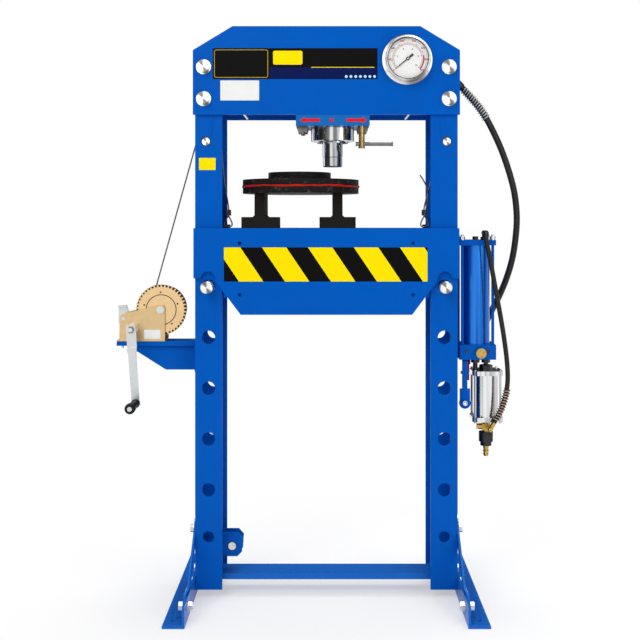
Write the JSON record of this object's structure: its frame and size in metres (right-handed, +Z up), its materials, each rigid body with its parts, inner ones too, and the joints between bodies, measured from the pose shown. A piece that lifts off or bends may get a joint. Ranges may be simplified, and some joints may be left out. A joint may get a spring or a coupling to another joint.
{
  "type": "air-hydraulic shop press",
  "caption": "Two-column workshop press with a sliding air-hydraulic head, a winch-lifted bed on pins, press plates, a gauge and a pump on the right column.",
  "frame": {"origin": "on the floor, midway between the two columns and midway between the ends of the feet", "axes": "+X to the right as seen from the gauge's side, +Y to the back, +Z up along the columns"},
  "size_m": [1.374, 0.7, 1.893],
  "materials": {
    "blue_paint": "gloss royal blue enamel",
    "light_blue_paint": "gloss light royal blue enamel",
    "black_paint": "satin black enamel",
    "red_paint": "gloss red enamel",
    "zinc_steel": "bright zinc plate",
    "yellow_zinc": "yellow passivated zinc plate",
    "bright_steel": "turned steel",
    "dark_steel": "oiled dark steel",
    "rope_steel": "galvanized wire rope",
    "ram_chrome": "hard chrome, ground",
    "aluminium": "anodized aluminium",
    "brass": "turned brass",
    "black_plastic": "moulded black plastic",
    "hose_rubber": "black rubber cover",
    "gauge_glass": "clear polished"
  },
  "bodies": {
    "frame": {"left_column": "blue_paint", "right_column": "blue_paint", "beam_plates": "blue_paint", "beam_bolts": "zinc_steel", "left_foot": "blue_paint", "right_foot": "blue_paint", "foot_braces": "blue_paint", "frame_bolts": "zinc_steel", "crossbar": "blue_paint", "sheave_axles": "zinc_steel", "axle_bushes": "black_plastic", "guide_bracket": "blue_paint", "winch_rope": "rope_steel", "balance_rope": "rope_steel", "winch_bracket": "blue_paint", "winch_frame": "yellow_zinc", "gauge_case": "bright_steel", "gauge_glass": "gauge_glass", "tank": "blue_paint", "tank_cap": "blue_paint", "tank_rods": "blue_paint", "pump_block": "blue_paint", "pump_mounts": "blue_paint", "air_motor": "aluminium", "hydraulic_fittings": "dark_steel", "air_fittings": "brass", "air_coupler": "dark_steel", "hydraulic_hose": "hose_rubber", "air_hose": "hose_rubber"},
    "left_sheave": {"left_top_sheave": "zinc_steel"},
    "right_sheave": {"right_top_sheave": "zinc_steel"},
    "roller": {"guide_roller": "dark_steel"},
    "drum": {"winch_drum": "yellow_zinc", "winch_gear": "yellow_zinc"},
    "crank": {"pinion_shaft": "zinc_steel", "winch_crank": "zinc_steel"},
    "grip": {"crank_grip": "black_plastic"},
    "pawl": {"winch_pawl": "zinc_steel"},
    "head": {"head_block": "light_blue_paint", "hydraulic_cylinder": "blue_paint", "gland_nut": "bright_steel", "head_clamps": "dark_steel"},
    "ram": {"ram": "ram_chrome"},
    "clamp_screw": {"clamp_screw": "yellow_zinc"},
    "clamp_bar": {"clamp_bar": "dark_steel"},
    "bed": {"bed_plates": "blue_paint", "bed_spacers": "blue_paint", "rope_clips": "zinc_steel", "left_drop_rope": "rope_steel", "right_drop_rope": "rope_steel", "stands": "black_paint", "large_discs": "black_paint", "disc_band": "red_paint", "top_disc": "black_paint"},
    "left_pin": {"left_bed_pin": "bright_steel"},
    "right_pin": {"right_bed_pin": "bright_steel"},
    "needle": {"gauge_needle": "black_paint"},
    "knob": {"release_knob": "brass"},
    "pump_lever": {"pump_lever": "blue_paint"},
    "valve_lever": {"valve_lever": "red_paint"}
  },
  "joints": [
    {"name": "head_slide", "type": "slide", "parent": "frame", "child": "head", "axis": [1, 0, 0], "range_m": [-0.222, 0.12]},
    {"name": "ram_slide", "type": "slide", "parent": "head", "child": "ram", "axis": [0, 0, -1], "range_m": [0, 0.0195]},
    {"name": "clamp_turn", "type": "hinge", "parent": "head", "child": "clamp_screw", "pos_m": [0.117, -0.084, 1.53], "axis": [0, 0, 1], "range_deg": [-120, 90]},
    {"name": "clamp_bar_slide", "type": "slide", "parent": "clamp_screw", "child": "clamp_bar", "axis": [1, 0, 0], "range_m": [-0.06, 0]},
    {"name": "bed_lift", "type": "slide", "parent": "frame", "child": "bed", "axis": [0, 0, 1], "range_m": [-0.0298, 0], "deforming": ["left_drop_rope", "right_drop_rope"]},
    {"name": "drum_turn", "type": "hinge", "parent": "frame", "child": "drum", "pos_m": [-0.556, 0, 0.951], "axis": [0, 1, 0], "range_deg": [0, 41]},
    {"name": "left_sheave_turn", "type": "hinge", "parent": "frame", "child": "left_sheave", "pos_m": [-0.399, 0, 1.513], "axis": [0, 1, 0], "range_deg": [0, 41]},
    {"name": "right_sheave_turn", "type": "hinge", "parent": "frame", "child": "right_sheave", "pos_m": [0.399, 0, 1.513], "axis": [0, 1, 0], "range_deg": [-72, 0]},
    {"name": "crank_turn", "type": "hinge", "parent": "frame", "child": "crank", "pos_m": [-0.64499, 0, 0.89113], "axis": [0, 1, 0], "range_deg": [-132, 0]},
    {"name": "grip_spin", "type": "hinge", "parent": "crank", "child": "grip", "pos_m": [-0.62752, -0.16, 0.64976], "axis": [0, 1, 0], "continuous": true},
    {"name": "pawl_swing", "type": "hinge", "parent": "frame", "child": "pawl", "pos_m": [-0.68099, 0, 0.922], "axis": [0, 1, 0], "range_deg": [-15, 15]},
    {"name": "roller_turn", "type": "hinge", "parent": "frame", "child": "roller", "pos_m": [-0.318, 0, 0.153], "axis": [0, 1, 0], "continuous": true},
    {"name": "left_pin_slide", "type": "slide", "parent": "frame", "child": "left_pin", "axis": [0, -1, 0], "range_m": [0, 0.235]},
    {"name": "right_pin_slide", "type": "slide", "parent": "frame", "child": "right_pin", "axis": [0, -1, 0], "range_m": [0, 0.235]},
    {"name": "needle_turn", "type": "hinge", "parent": "frame", "child": "needle", "pos_m": [0.267, -0.13, 1.782], "axis": [0, 1, 0], "range_deg": [0, 260]},
    {"name": "knob_turn", "type": "hinge", "parent": "frame", "child": "knob", "pos_m": [0.514, -0.07, 0.81], "axis": [0, 1, 0], "range_deg": [0, 180]},
    {"name": "pump_lever_turn", "type": "hinge", "parent": "frame", "child": "pump_lever", "pos_m": [0.464, -0.05, 0.64], "axis": [0, 1, 0], "range_deg": [-3, 5]},
    {"name": "valve_lever_turn", "type": "hinge", "parent": "frame", "child": "valve_lever", "pos_m": [0.478, -0.015, 0.774], "axis": [1, 0, 0], "range_deg": [-25, 20]}
  ],
  "couplings": [
    {"joint": "drum_turn", "follows": "bed_lift", "rad_per_m": -23.809},
    {"joint": "left_sheave_turn", "follows": "bed_lift", "rad_per_m": -23.809},
    {"joint": "right_sheave_turn", "follows": "bed_lift", "rad_per_m": 41.667},
    {"joint": "crank_turn", "follows": "bed_lift", "rad_per_m": 76.923}
  ]
}
